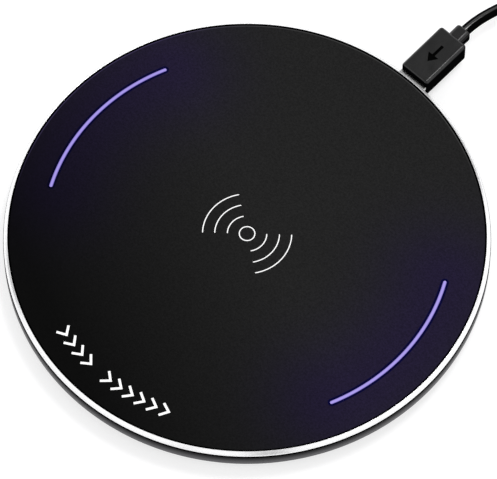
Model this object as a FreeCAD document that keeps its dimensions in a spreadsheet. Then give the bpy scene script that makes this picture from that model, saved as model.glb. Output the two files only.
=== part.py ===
"""Round wireless charging pad with its detachable USB lead.

Origin: centre of the pad's footprint on the table. +Z is up, +Y points out of the
power port, and the two light arcs lie near +X and -X: the panel that holds them is
turned a little against the port. Millimetres and degrees.
"""
import FreeCAD, Part
import math
import os

import Sketcher
from FreeCAD import Placement, Rotation, Vector

DIMENSIONS = {
    # pad outline, from the table upwards
    "pad_radius": 52.0,
    "pad_height": 7.6,
    "rim_chamfer": 0.92,
    "wall_low": 3.3,
    "ring_low": 2.0,
    "ring_bore": 50.4,
    "flange_radius": 49.4,
    "flange_low": 5.7,
    "flange_high": 6.3,
    "panel_gap": 0.3,
    "panel_low": 6.45,
    "panel_high": 7.5,
    "panel_edge": 0.15,
    "glue_inner": 49.6,
    "glue_outer": 50.7,
    # bottom shell
    "shell_low": 0.5,
    "shell_floor": 1.7,
    "shell_flat_radius": 47.6,
    "shell_radius": 50.3,
    "shell_taper_high": 1.9,
    "shell_wall": 1.4,
    "shell_high": 5.6,
    "recess_radius": 30.0,
    "recess_depth": 0.3,
    "rib_high": 3.0,
    "rib_wall": 1.2,
    "rib_radius_1": 24.0,
    "rib_radius_2": 15.0,
    "rib_radius_3": 6.0,
    # rubber foot ring, set in a groove
    "foot_inner": 42.0,
    "foot_outer": 47.0,
    "foot_depth": 0.5,
    "foot_gap": 0.05,
    # case screws and the posts that they join
    "post_circle": 44.5,
    "pillar_radius": 3.0,
    "pillar_high": 2.9,
    "post_radius": 2.5,
    "post_low": 3.0,
    "pilot_radius": 1.0,
    "pilot_depth": 3.0,
    "counterbore_radius": 2.05,
    "counterbore_high": 2.2,
    "screw_hole_radius": 1.15,
    "case_head_radius": 1.9,
    "case_head_low": 1.05,
    "case_head_high": 2.15,
    "case_shank_radius": 0.97,
    "case_shank_high": 5.6,
    # light arcs
    "light_radius": 43.5,
    "light_width": 0.8,
    "light_half_span": 25.2,
    "light_turn": 2.3,
    "guide_fit": 0.03,
    "guide_flange": 2.4,
    "guide_low": 5.35,
    "lamp_length": 1.6,
    "lamp_width": 0.8,
    "lamp_high": 0.6,
    "lamp_step": 14.0,
    # circuit board, its screws and the parts on it
    "board_low": 2.45,
    "board_high": 3.45,
    "board_inner": 27.5,
    "board_outer": 47.0,
    "board_notch": 3.3,
    "board_tab": 6.0,
    "board_tab_end": 48.3,
    "board_post_circle": 33.0,
    "board_post_radius": 2.2,
    "board_pilot_low": 1.0,
    "board_screw_gap": 0.1,
    "board_pilot_radius": 0.7,
    "board_hole_radius": 1.0,
    "board_head_radius": 1.5,
    "board_head_high": 4.35,
    "board_shank_radius": 0.68,
    "chip_side": 5.0,
    "chip_high": 0.9,
    "transistor_side": 3.3,
    "transistor_high": 1.0,
    "film_length": 4.5,
    "film_width": 3.2,
    "film_high": 2.0,
    "inductor_side": 5.2,
    "inductor_high": 2.4,
    "input_width": 1.6,
    "input_length": 3.2,
    "input_high": 1.6,
    "crystal_length": 3.2,
    "crystal_width": 2.5,
    "crystal_high": 0.8,
    "passive_length": 1.0,
    "passive_width": 0.5,
    "passive_high": 0.35,
    "passive_circle_inner": 30.6,
    "passive_circle_outer": 44.6,
    "passive_first": 62.0,
    "passive_step": 4.0,
    # coil stack
    "tape_thick": 0.1,
    "tape_inset": 0.5,
    "coil_tape_width": 11,
    "ferrite_radius": 24.5,
    "ferrite_high": 4.0,
    "coil_wire": 1.1,
    "coil_pitch": 1.13,
    "coil_inner": 10.5,
    "coil_half_turns": 21,
    "lead_over": 5.8,
    "bead_radius": 0.9,
    "sensor_wire": 0.35,
    # power port: height of its centre, and the plug shell's cross-section
    "port_z": 4.7,
    "port_half_width": 3.425,
    "port_half_high": 0.9,
    "port_corner": 0.725,
    "port_fit": 0.05,
    "port_front": 51.6,
    "port_back": 45.5,
    "port_back_wall": 0.4,
    "port_wall": 0.28,
    "port_hole_gap": 0.1,
    "tongue_half_width": 1.75,
    "tongue_low": -0.15,
    "tongue_high": 0.45,
    "tongue_root": 46.4,
    "tongue_tip": 50.4,
    "pin_pitch": 0.65,
    "pin_width": 0.28,
    "pin_thick": 0.08,
    "pin_inset": 0.3,
    "pin_tail": 0.7,
    "pin_tail_thick": 0.15,
    # small plug
    "plug_gap": 1.0,
    "plug_length": 12.9,
    "plug_width": 7.4,
    "plug_thick": 5.6,
    "plug_edge": 0.7,
    "plug_face_edge": 0.5,
    "plug_shell_length": 6.5,
    "plug_shell_wall": 0.25,
    "plug_core_inset": 0.4,
    "plug_core_fit": 0.01,
    "plug_slot_half": 2.0,
    "plug_slot_below": 0.35,
    "plug_slot_above": 0.1,
    "plug_slot_depth": 4.6,
    "plug_pin_inset": 0.5,
    "plug_pin_thick": 0.17,
    "neck_width": 3.7,
    "neck_thick": 3.5,
    "neck_length": 3.4,
    "neck_edge": 1.0,
    "neck_end_edge": 0.5,
    "mark_depth": 0.2,
    "mark_start": 4.2,
    "mark_head": 2.0,
    "mark_shaft": 3.0,
    "mark_half_head": 1.4,
    "mark_half_shaft": 0.35,
    # cord and its coil
    "cord_diameter": 2.4,
    "hank_x": 22.86,
    "hank_y": 91.97,
    "hank_low": 0.5,
    "hank_radius": 13.8,
    "hank_width": 8.94,
    "hank_high": 9.6,
    "hank_round": 1.2,
    "tie_width": 4.0,
    "tie_thick": 0.5,
    "tie_slack": 0.33,
    # large plug, along +Y from the end of its cord
    "big_x": -15.2,
    "big_y": 97.6,
    "big_z": 3.8,
    "big_relief_length": 6.5,
    "big_relief_radius": 2.6,
    "big_relief_tip": 1.7,
    "big_length": 18.0,
    "big_width": 15.4,
    "big_thick": 7.6,
    "big_edge": 1.4,
    "big_rear_edge": 1.2,
    "big_face_edge": 0.3,
    "big_shell_length": 11.75,
    "big_shell_width": 12.0,
    "big_shell_thick": 4.5,
    "big_shell_wall": 0.3,
    "big_can_edge": 0.5,
    "big_window": 2.3,
    "big_window_place": 0.45,
    "big_tongue_width": 11.1,
    "big_tongue_thick": 1.85,
    "big_tongue_fit": 0.02,
    "big_tongue_inset": 0.6,
    "big_pin_half": 0.5,
    "big_pin_thick": 0.12,
    "big_pin_inset": 1.8,
}

SCREW_ANGLES = (45, 135, 225, 315)
BOARD_SCREW_ANGLES = (30, 130, 210, 310)

doc = FreeCAD.newDocument("charging_pad")
sheet = doc.addObject("Spreadsheet::Sheet", "dims")
for row, (alias, number) in enumerate(DIMENSIONS.items(), start=1):
    sheet.set("A%d" % row, alias)
    sheet.set("B%d" % row, str(number))
    sheet.setAlias("B%d" % row, alias)
doc.recompute()

nodes = []


# ---------------------------------------------------------------- helpers

def size(alias):
    """The sheet's value of one driving dimension."""
    return float(sheet.get(alias))


def keep(feature, label):
    """Name a finished sub-part; its label is its file's name."""
    feature.Label = label
    nodes.append(feature)
    return feature


def new_body(name):
    return doc.addObject("PartDesign::Body", name)


def new_sketch(body, name, role, height="0"):
    """A sketch on one of the body's own origin planes, moved out along its normal."""
    sketch = body.newObject("Sketcher::SketchObject", name)
    plane = [item for item in body.Origin.OriginFeatures if item.Role == role][0]
    sketch.AttachmentSupport = [(plane, "")]
    sketch.MapMode = "FlatFace"
    sketch.setExpression(".AttachmentOffset.Base.z", height)
    return sketch


def bind_point(sketch, curve, end, across, up):
    """Hold one point of a curve at two formulas of the sheet."""
    for kind, formula in (("DistanceX", across), ("DistanceY", up)):
        index = sketch.addConstraint(Sketcher.Constraint(kind, -1, 1, curve, end, 1.0))
        sketch.setExpression("Constraints[%d]" % index, formula)


def polygon(sketch, corners):
    """A closed outline. Its corners start spread on a circle, and the dimensions place them."""
    count = len(corners)
    spread = [Vector(math.cos(2 * math.pi * i / count), math.sin(2 * math.pi * i / count), 0)
              for i in range(count)]
    first = len(sketch.Geometry)
    for i in range(count):
        sketch.addGeometry(Part.LineSegment(spread[i], spread[(i + 1) % count]), False)
    for i in range(count):
        after = first + (i + 1) % count
        sketch.addConstraint(Sketcher.Constraint("Coincident", first + i, 2, after, 1))
    for i, (across, up) in enumerate(corners):
        bind_point(sketch, first + i, 1, across, up)


def rectangle(sketch, left, right, low, high):
    polygon(sketch, [(left, low), (right, low), (right, high), (left, high)])


def circle(sketch, across, up, radius):
    index = len(sketch.Geometry)
    sketch.addGeometry(Part.Circle(Vector(index + 1, 1, 0), Vector(0, 0, 1), 0.5), False)
    bind_point(sketch, index, 3, across, up)
    held = sketch.addConstraint(Sketcher.Constraint("Radius", index, 0.5))
    sketch.setExpression("Constraints[%d]" % held, radius)


def circles_around(sketch, circle_radius, angles, radius):
    """Equal circles about the origin, at the given angles from +X."""
    for angle in angles:
        across = "%s * cos(%s)" % (circle_radius, angle)
        up = "%s * sin(%s)" % (circle_radius, angle)
        circle(sketch, across, up, radius)


def prism(body, name, role, low, high, draw, cut=False):
    """Pad or pocket what draw sketches, from low to high along +Z (XY) or +Y (XZ)."""
    if role == "XY_Plane":
        start = high if cut else low
    else:
        start = "-1 * (%s)" % (low if cut else high)
    sketch = new_sketch(body, name + "_outline", role, start)
    draw(sketch)
    before = body.Shape.Volume if cut else 0.0
    feature = body.newObject("PartDesign::Pocket" if cut else "PartDesign::Pad", name)
    feature.Profile = sketch
    feature.Type = "Length"
    feature.setExpression("Length", "(%s) - (%s)" % (high, low))
    doc.recompute()
    if cut and body.Shape.Volume > before - 1e-6:
        raise RuntimeError("%s cuts nothing" % name)
    return feature


def turned(body, name, corners, angle="360", midplane=False):
    """Revolve an outline of (radius, height) corners about Z."""
    sketch = new_sketch(body, name + "_outline", "XZ_Plane")
    polygon(sketch, corners)
    feature = body.newObject("PartDesign::Revolution", name)
    feature.Profile = sketch
    feature.ReferenceAxis = (sketch, ["V_Axis"])
    feature.setExpression("Angle", angle)
    feature.Midplane = midplane
    doc.recompute()
    return feature


def rounded(body, name, radius, chosen):
    """Fillet the edges of the body that pass the test."""
    feature = body.newObject("PartDesign::Fillet", name)
    base = body.Shape
    picked = ["Edge%d" % (i + 1) for i, edge in enumerate(base.Edges) if chosen(edge)]
    previous = [item for item in body.Group if item.isDerivedFrom("PartDesign::Feature")][-2]
    feature.Base = (previous, picked)
    feature.setExpression("Radius", radius)
    doc.recompute()
    return feature


def along_y(edge):
    return edge.BoundBox.YLength > 0.5 * edge.Length


def at_y(place):
    return lambda edge: edge.BoundBox.YLength < 1e-6 and abs(edge.BoundBox.YMin - place) < 1e-6


def flat_ring(label, inner, outer, low, high):
    """A washer about Z; inner is None for a plain disc."""
    body = new_body(label)

    def outline(sketch):
        circle(sketch, "0", "0", outer)
        if inner is not None:
            circle(sketch, "0", "0", inner)

    prism(body, label + "_pad", "XY_Plane", low, high, outline)
    return keep(body, label)


def boxes(label, sizes, places):
    """Separate boxes in one node, each centred at (x, y, base z, turn about Z)."""
    length, width, height = sizes
    parts = []
    for x, y, z, turn in places:
        box = doc.addObject("Part::Box", label + "_box")
        box.setExpression("Length", length)
        box.setExpression("Width", width)
        box.setExpression("Height", height)
        doc.recompute()
        spin = Rotation(Vector(0, 0, 1), turn)
        corner = Vector(-box.Length.Value / 2, -box.Width.Value / 2, 0)
        box.Placement = Placement(Vector(x, y, z) + spin.multVec(corner), spin)
        parts.append(box)
    group = doc.addObject("Part::Compound", label)
    group.Links = parts
    return keep(group, label)


def smooth_path(points, report):
    """Straight runs joined by tangent arcs, each as large as its two runs allow."""
    pieces = []
    radii = []
    start = points[0]
    for before, corner, after in zip(points, points[1:], points[2:]):
        back = before - corner
        ahead = after - corner
        half_turn = (math.pi - back.getAngle(ahead)) / 2
        tangent = 0.45 * min(back.Length, ahead.Length)
        radius = tangent / math.tan(half_turn)
        back.normalize()
        ahead.normalize()
        entry = corner + back * tangent
        leave = corner + ahead * tangent
        inward = back + ahead
        inward.normalize()
        middle = corner + inward * (radius / math.cos(half_turn) - radius)
        pieces.append(Part.LineSegment(start, entry).toShape())
        pieces.append(Part.Arc(entry, middle, leave).toShape())
        radii.append(radius)
        start = leave
    pieces.append(Part.LineSegment(start, points[-1]).toShape())
    if report:
        print(report, "arc radii", ["%.1f" % radius for radius in radii])
    return Part.Wire(pieces)


def swept(path, diameter, report=None):
    """A round bar of one diameter along a path, its volume compared with its length."""
    edge = path.Edges[0]
    start = edge.valueAt(edge.FirstParameter)
    heading = edge.tangentAt(edge.FirstParameter)
    ring = Part.Wire([Part.makeCircle(diameter / 2, start, heading)])
    bar = path.makePipeShell([ring], True, False)
    expected = math.pi * diameter ** 2 / 4 * path.Length
    if abs(bar.Volume / expected - 1) > 0.01:
        raise RuntimeError("a swept bar has the wrong volume")
    if report:
        print(report, "length %.1f, volume %.1f of %.1f" % (path.Length, bar.Volume, expected))
    return bar


def shaped(label, shape):
    """A sub-part whose shape is made directly."""
    feature = doc.addObject("Part::Feature", label)
    feature.Shape = shape
    feature.Placement = Placement()
    return keep(feature, label)


# ---------------------------------------------------------------- case

def make_top_panel():
    body = new_body("top_panel")
    rim = "dims.pad_radius - dims.rim_chamfer - dims.panel_gap"
    turned(body, "panel_disc", [
        ("0", "dims.panel_low"), (rim, "dims.panel_low"),
        (rim, "dims.panel_high - dims.panel_edge"),
        (rim + " - dims.panel_edge", "dims.panel_high"), ("0", "dims.panel_high")])

    sketch = new_sketch(body, "light_slot_outline", "XZ_Plane")
    half = "dims.light_width / 2"
    rectangle(sketch, "dims.light_radius - " + half, "dims.light_radius + " + half,
              "dims.flange_high", "dims.pad_height")
    slot = body.newObject("PartDesign::Groove", "light_slot")
    slot.Profile = sketch
    slot.ReferenceAxis = (sketch, ["V_Axis"])
    slot.setExpression("Angle", "2 * dims.light_half_span")
    slot.Midplane = True
    pair = body.newObject("PartDesign::PolarPattern", "light_slots")
    pair.Originals = [slot]
    pair.Axis = (sketch, ["V_Axis"])
    pair.Angle = 360
    pair.Occurrences = 2
    body.Tip = pair
    doc.recompute()

    def slot_ends(sketch):
        for side in ("0", "180"):
            for way in ("+", "-"):
                angle = "%s %s dims.light_half_span" % (side, way)
                circles_around(sketch, "dims.light_radius", [angle], half)

    angles = ["%d - dims.light_turn" % angle for angle in SCREW_ANGLES]
    prism(body, "slot_ends", "XY_Plane", "dims.panel_low", "dims.panel_high", slot_ends, cut=True)
    prism(body, "posts", "XY_Plane", "dims.post_low", "dims.panel_low",
          lambda sketch: circles_around(sketch, "dims.post_circle", angles, "dims.post_radius"))
    prism(body, "pilots", "XY_Plane", "dims.post_low", "dims.post_low + dims.pilot_depth",
          lambda sketch: circles_around(sketch, "dims.post_circle", angles, "dims.pilot_radius"),
          cut=True)
    body.Placement = Placement(Vector(0, 0, 0), Rotation(Vector(0, 0, 1), size("light_turn")))
    return keep(body, "top_panel")


def make_light_guide(label, turn):
    """A clear bar that fills one light slot, with a wider foot glued under the panel."""
    body = new_body(label)
    rib = "(dims.light_width / 2 - dims.guide_fit)"
    foot = "dims.guide_flange / 2"
    turned(body, label + "_bar", [
        ("dims.light_radius - " + foot, "dims.guide_low"),
        ("dims.light_radius + " + foot, "dims.guide_low"),
        ("dims.light_radius + " + foot, "dims.panel_low"),
        ("dims.light_radius + " + rib, "dims.panel_low"),
        ("dims.light_radius + " + rib, "dims.panel_high"),
        ("dims.light_radius - " + rib, "dims.panel_high"),
        ("dims.light_radius - " + rib, "dims.panel_low"),
        ("dims.light_radius - " + foot, "dims.panel_low")],
        angle="2 * dims.light_half_span", midplane=True)
    ends = ["dims.light_half_span", "-1 * dims.light_half_span"]
    prism(body, label + "_ends", "XY_Plane", "dims.guide_low", "dims.panel_high",
          lambda sketch: circles_around(sketch, "dims.light_radius", ends, rib))
    spin = Rotation(Vector(0, 0, 1), turn + size("light_turn"))
    body.Placement = Placement(Vector(0, 0, 0), spin)
    return keep(body, label)


def port_outline(sketch, offset):
    """The port's outline, wide above and cut off at its lower corners, grown by an offset."""
    wide = "(dims.port_half_width + %s)" % offset
    tall = "(dims.port_half_high + %s)" % offset
    corner = "(dims.port_corner + %s * (2 - sqrt(2)))" % offset
    top = "dims.port_z + " + tall
    bottom = "dims.port_z - " + tall
    polygon(sketch, [
        ("-1 * " + wide, top), ("-1 * " + wide, bottom + " + " + corner),
        ("-1 * (%s - %s)" % (wide, corner), bottom), ("%s - %s" % (wide, corner), bottom),
        (wide, bottom + " + " + corner), (wide, top)])


def make_trim_ring():
    body = new_body("trim_ring")
    lip = "dims.pad_radius - dims.rim_chamfer"
    turned(body, "ring_section", [
        ("dims.pad_radius", "dims.wall_low"),
        ("dims.pad_radius", "dims.pad_height - dims.rim_chamfer"),
        (lip, "dims.pad_height"), (lip, "dims.flange_high"),
        ("dims.flange_radius", "dims.flange_high"), ("dims.flange_radius", "dims.flange_low"),
        ("dims.ring_bore", "dims.flange_low"), ("dims.ring_bore", "dims.ring_low"),
        ("dims.pad_radius - (dims.wall_low - dims.ring_low)", "dims.ring_low")])
    gap = "(dims.port_wall + dims.port_fit + dims.port_hole_gap)"
    prism(body, "port_hole", "XZ_Plane", "dims.flange_radius - 2", "dims.pad_radius + 1",
          lambda sketch: port_outline(sketch, gap), cut=True)
    return keep(body, "trim_ring")


def make_bottom_shell():
    body = new_body("bottom_shell")
    inside = "dims.shell_radius - dims.shell_wall"
    recess = "dims.shell_low + dims.recess_depth"
    groove = "dims.shell_low + dims.foot_depth"
    turned(body, "shell_section", [
        ("0", recess), ("dims.recess_radius", recess), ("dims.recess_radius", "dims.shell_low"),
        ("dims.foot_inner", "dims.shell_low"), ("dims.foot_inner", groove),
        ("dims.foot_outer", groove), ("dims.foot_outer", "dims.shell_low"),
        ("dims.shell_flat_radius", "dims.shell_low"), ("dims.shell_radius", "dims.shell_taper_high"),
        ("dims.shell_radius", "dims.shell_high"), (inside, "dims.shell_high"),
        (inside, "dims.shell_floor"), ("0", "dims.shell_floor")])

    def ribs(sketch):
        for number in (1, 2, 3):
            outer = "dims.rib_radius_%d" % number
            circle(sketch, "0", "0", outer)
            circle(sketch, "0", "0", outer + " - dims.rib_wall")

    def pillars(sketch):
        circles_around(sketch, "dims.post_circle", SCREW_ANGLES, "dims.pillar_radius")

    def board_posts(sketch):
        circles_around(sketch, "dims.board_post_circle", BOARD_SCREW_ANGLES, "dims.board_post_radius")

    prism(body, "coil_ribs", "XY_Plane", "dims.shell_floor", "dims.rib_high", ribs)
    prism(body, "pillars", "XY_Plane", "dims.shell_floor", "dims.pillar_high", pillars)
    prism(body, "board_posts", "XY_Plane", "dims.shell_floor", "dims.board_low", board_posts)
    prism(body, "counterbores", "XY_Plane", groove, "dims.counterbore_high",
          lambda sketch: circles_around(sketch, "dims.post_circle", SCREW_ANGLES,
                                        "dims.counterbore_radius"), cut=True)
    prism(body, "screw_holes", "XY_Plane", "dims.counterbore_high", "dims.pillar_high",
          lambda sketch: circles_around(sketch, "dims.post_circle", SCREW_ANGLES,
                                        "dims.screw_hole_radius"), cut=True)
    prism(body, "board_pilots", "XY_Plane", "dims.board_pilot_low", "dims.board_low",
          lambda sketch: circles_around(sketch, "dims.board_post_circle", BOARD_SCREW_ANGLES,
                                        "dims.board_pilot_radius"), cut=True)
    side = "dims.port_half_width + 1"
    prism(body, "port_notch", "XY_Plane", "dims.board_low", "dims.shell_high",
          lambda sketch: rectangle(sketch, "-1 * (%s)" % side, side,
                                   inside + " - 1", "dims.shell_radius + 1"), cut=True)
    return keep(body, "bottom_shell")


def make_screws(label, circle_radius, angles, head, shank):
    """Plain screws about Z. head and shank are (radius, low, high); the socket is blind."""
    body = new_body(label)
    for part, (radius, low, high) in (("heads", head), ("shanks", shank)):
        prism(body, label + "_" + part, "XY_Plane", low, high,
              lambda sketch: circles_around(sketch, circle_radius, angles, radius))
    return keep(body, label)


# ---------------------------------------------------------------- charging coil

def spiral_path():
    """Half circles of growing radius, whose two centres alternate along X."""
    pitch = size("coil_pitch")
    height = size("ferrite_high") + size("tape_thick") + size("coil_wire") / 2
    arcs = []
    for number in range(int(size("coil_half_turns"))):
        radius = size("coil_inner") + number * pitch / 2
        side = -1 if number % 2 == 0 else 1
        centre = Vector(-side * pitch / 4, 0, height)
        start = centre + Vector(side * radius, 0, 0)
        middle = centre + Vector(0, side * radius, 0)
        end = centre - Vector(side * radius, 0, 0)
        arcs.append(Part.Arc(start, middle, end).toShape())
    return Part.Wire(arcs)


def make_coil_leads(spiral):
    """The winding's two ends: one runs on from its rim, one climbs out of its eye."""
    eye = spiral.Edges[0].valueAt(spiral.Edges[0].FirstParameter)
    rim = spiral.Edges[-1].valueAt(spiral.Edges[-1].LastParameter)
    on_board = size("board_high") + size("coil_wire") / 2
    over = size("lead_over")
    rim_route = [rim, rim + Vector(0, 11, 0), Vector(rim.x + 0.6, 18.5, on_board),
                 Vector(rim.x + 0.6, 24, on_board)]
    eye_route = [eye, eye + Vector(0, 1.4, 0), Vector(eye.x, 4.4, over), Vector(eye.x, 26.5, over),
                 Vector(eye.x, 30.5, on_board), Vector(eye.x, 34.5, on_board)]
    bars = [swept(smooth_path(route, None), size("coil_wire")) for route in (rim_route, eye_route)]
    return shaped("coil_leads", Part.makeCompound(bars))


def make_thermistor():
    """A glass bead in the coil's eye, with two thin legs that cross to the board."""
    low = size("ferrite_high") + size("bead_radius")
    over = size("lead_over")
    wire = size("sensor_wire")
    bead = Part.makeSphere(size("bead_radius"), Vector(0, 0, low))
    for side in (-0.4, 0.4):
        route = [Vector(side, 0, low), Vector(side, 2.5, low), Vector(side, 5.5, over),
                 Vector(side, 27.5, over), Vector(side, 30.0, size("board_high") + wire / 2),
                 Vector(side, 31.5, size("board_high") + wire / 2)]
        bead = bead.fuse(swept(smooth_path(route, None), wire))
    return shaped("thermistor", bead)


# ---------------------------------------------------------------- circuit board

def make_circuit_board():
    body = new_body("circuit_board")

    def outline(sketch):
        circle(sketch, "0", "0", "dims.board_outer")
        circle(sketch, "0", "0", "dims.board_inner")

    prism(body, "board_ring", "XY_Plane", "dims.board_low", "dims.board_high", outline)
    prism(body, "port_tab", "XY_Plane", "dims.board_low", "dims.board_high",
          lambda sketch: rectangle(sketch, "-1 * dims.board_tab", "dims.board_tab",
                                   "dims.board_outer - 2", "dims.board_tab_end"))
    prism(body, "post_notches", "XY_Plane", "dims.board_low", "dims.board_high",
          lambda sketch: circles_around(sketch, "dims.post_circle", SCREW_ANGLES,
                                        "dims.board_notch"), cut=True)
    prism(body, "board_holes", "XY_Plane", "dims.board_low", "dims.board_high",
          lambda sketch: circles_around(sketch, "dims.board_post_circle", BOARD_SCREW_ANGLES,
                                        "dims.board_hole_radius"), cut=True)
    return keep(body, "circuit_board")


def make_board_parts():
    """Chips, capacitors and lamps: boxes on the board's upper face."""
    top = size("board_high")
    boxes("controller_chip", ("dims.chip_side", "dims.chip_side", "dims.chip_high"),
          [(0, 36.5, top, 0)])
    boxes("power_transistors",
          ("dims.transistor_side", "dims.transistor_side", "dims.transistor_high"),
          [(x, y, top, 0) for x in (-19.5, -15) for y in (33, 37.5)])
    boxes("resonance_capacitors", ("dims.film_length", "dims.film_width", "dims.film_high"),
          [(x, y, top, 0) for x in (15, 20.6) for y in (31.5, 35.7)])
    boxes("power_inductor", ("dims.inductor_side", "dims.inductor_side", "dims.inductor_high"),
          [(-9, 39.4, top, 0)])
    boxes("input_capacitors", ("dims.input_width", "dims.input_length", "dims.input_high"),
          [(x, 41, top, 0) for x in (7, 9.8)])
    boxes("clock_crystal", ("dims.crystal_length", "dims.crystal_width", "dims.crystal_high"),
          [(7.4, 34.5, top, 0)])
    passives = []
    for number in range(14):
        turn = size("passive_first") + size("passive_step") * number
        radius = size("passive_circle_inner" if number % 2 else "passive_circle_outer")
        x, y = on_circle(radius, turn)
        if abs(x) > 5.2:
            passives.append((x, y, top, turn))
    boxes("small_passives", ("dims.passive_length", "dims.passive_width", "dims.passive_high"),
          passives)
    for label, middle in (("right_lamps", 0), ("left_lamps", 180)):
        places = []
        for step in (-1.5, -0.5, 0.5, 1.5):
            turn = middle + size("light_turn") + step * size("lamp_step")
            places.append((*on_circle(size("light_radius"), turn), top, turn + 90))
        boxes(label, ("dims.lamp_length", "dims.lamp_width", "dims.lamp_high"), places)


def on_circle(radius, turn):
    """The X and Y of a point on a circle about Z."""
    return radius * math.cos(math.radians(turn)), radius * math.sin(math.radians(turn))


# ---------------------------------------------------------------- power port

def make_port():
    fit = "dims.port_fit"
    outside = "(dims.port_fit + dims.port_wall)"
    shell = new_body("port_shell")
    prism(shell, "port_can", "XZ_Plane", "dims.port_back", "dims.port_front",
          lambda sketch: port_outline(sketch, outside))
    prism(shell, "port_mouth", "XZ_Plane", "dims.port_back + dims.port_back_wall", "dims.port_front",
          lambda sketch: port_outline(sketch, fit), cut=True)
    keep(shell, "port_shell")

    tongue = new_body("port_tongue")
    prism(tongue, "tongue_base", "XZ_Plane", "dims.port_back + dims.port_back_wall",
          "dims.tongue_root", lambda sketch: port_outline(sketch, "0"))
    prism(tongue, "tongue_blade", "XZ_Plane", "dims.tongue_root", "dims.tongue_tip",
          lambda sketch: rectangle(sketch, "-1 * dims.tongue_half_width", "dims.tongue_half_width",
                                   "dims.port_z + dims.tongue_low",
                                   "dims.port_z + dims.tongue_high"))
    keep(tongue, "port_tongue")

    pins = new_body("port_contacts")
    low = "dims.port_z + dims.tongue_low"
    prism(pins, "pin_blades", "XZ_Plane", "dims.tongue_root", "dims.tongue_tip - dims.pin_inset",
          lambda sketch: pin_row(sketch, low + " - dims.pin_thick", low))
    prism(pins, "pin_tails", "XZ_Plane", "dims.port_back - dims.pin_tail", "dims.port_back",
          lambda sketch: pin_row(sketch, "dims.board_high", "dims.board_high + dims.pin_tail_thick"))
    keep(pins, "port_contacts")


def pin_row(sketch, low, high):
    """Five contacts side by side."""
    for place in (-2, -1, 0, 1, 2):
        centre = "%d * dims.pin_pitch" % place
        rectangle(sketch, centre + " - dims.pin_width / 2", centre + " + dims.pin_width / 2",
                  low, high)


# ---------------------------------------------------------------- small plug

def centred(sketch, width, thick, height):
    """A rectangle centred at X = 0 and at one height."""
    rectangle(sketch, "-1 * %s / 2" % width, "%s / 2" % width,
              "%s - %s / 2" % (height, thick), "%s + %s / 2" % (height, thick))


def make_small_plug():
    face = "dims.pad_radius + dims.plug_gap"
    rear = face + " + dims.plug_length"
    tip = face + " - dims.plug_shell_length"
    face_y = size("pad_radius") + size("plug_gap")
    rear_y = face_y + size("plug_length")

    shell = new_body("small_plug_shell")
    prism(shell, "plug_can", "XZ_Plane", tip, face, lambda sketch: port_outline(sketch, "0"))
    prism(shell, "plug_bore", "XZ_Plane", tip, face,
          lambda sketch: port_outline(sketch, "(-1 * dims.plug_shell_wall)"), cut=True)
    keep(shell, "small_plug_shell")

    core = new_body("small_plug_insulator")
    prism(core, "plug_core", "XZ_Plane", tip + " + dims.plug_core_inset", face,
          lambda sketch: port_outline(sketch, "(-1 * dims.plug_shell_wall - dims.plug_core_fit)"))
    slot_low = tip + " + dims.plug_core_inset"
    slot_high = slot_low + " + dims.plug_slot_depth"
    prism(core, "plug_slot", "XZ_Plane", slot_low, slot_high,
          lambda sketch: rectangle(sketch, "-1 * dims.plug_slot_half", "dims.plug_slot_half",
                                   "dims.port_z + dims.tongue_low - dims.plug_slot_below",
                                   "dims.port_z + dims.tongue_high + dims.plug_slot_above"), cut=True)
    keep(core, "small_plug_insulator")

    pins = new_body("small_plug_contacts")
    floor = "dims.port_z + dims.tongue_low - dims.plug_slot_below"
    prism(pins, "plug_pins", "XZ_Plane", tip + " + dims.plug_pin_inset", slot_high,
          lambda sketch: pin_row(sketch, floor, floor + " + dims.plug_pin_thick"))
    keep(pins, "small_plug_contacts")

    grip = new_body("small_plug_grip")
    prism(grip, "grip_block", "XZ_Plane", face, rear,
          lambda sketch: centred(sketch, "dims.plug_width", "dims.plug_thick", "dims.port_z"))
    rounded(grip, "grip_sides", "dims.plug_edge", along_y)
    rounded(grip, "grip_rear", "dims.plug_edge", at_y(rear_y))
    rounded(grip, "grip_face", "dims.plug_face_edge", at_y(face_y))
    top = "dims.port_z + dims.plug_thick / 2"

    def arrow(sketch):
        point = face + " + dims.mark_start"
        head = point + " + dims.mark_head"
        tail = head + " + dims.mark_shaft"
        polygon(sketch, [("0", point), ("dims.mark_half_head", head),
                         ("dims.mark_half_shaft", head), ("dims.mark_half_shaft", tail),
                         ("-1 * dims.mark_half_shaft", tail), ("-1 * dims.mark_half_shaft", head),
                         ("-1 * dims.mark_half_head", head)])

    prism(grip, "grip_arrow", "XY_Plane", top + " - dims.mark_depth", top, arrow, cut=True)
    keep(grip, "small_plug_grip")

    neck = new_body("small_plug_neck")
    prism(neck, "neck_block", "XZ_Plane", rear, rear + " + dims.neck_length",
          lambda sketch: centred(sketch, "dims.neck_width", "dims.neck_thick", "dims.port_z"))
    rounded(neck, "neck_sides", "dims.neck_edge", along_y)
    rounded(neck, "neck_end", "dims.neck_end_edge", at_y(rear_y + size("neck_length")))
    keep(neck, "small_plug_neck")


# ---------------------------------------------------------------- cord

# From the small plug's neck to the coil, then from the coil to the large plug.
CORD_ROUTE = [(0.0, 69.3, 4.7), (0.0, 72.4, 4.7), (1.45, 78.8, 4.3), (3.4, 84.6, 3.1),
              (5.0, 90.2, 2.1), (6.1, 95.2, 1.7)]
TAIL_ROUTE = [(7.39, 84.76, 8.9), (5.2, 89.46, 8.7), (2.0, 93.3, 7.7), (-2.2, 96.0, 6.2),
              (-7.0, 97.45, 4.7), (-11.6, 97.6, 3.8), (-15.2, 97.6, 3.8)]


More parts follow.
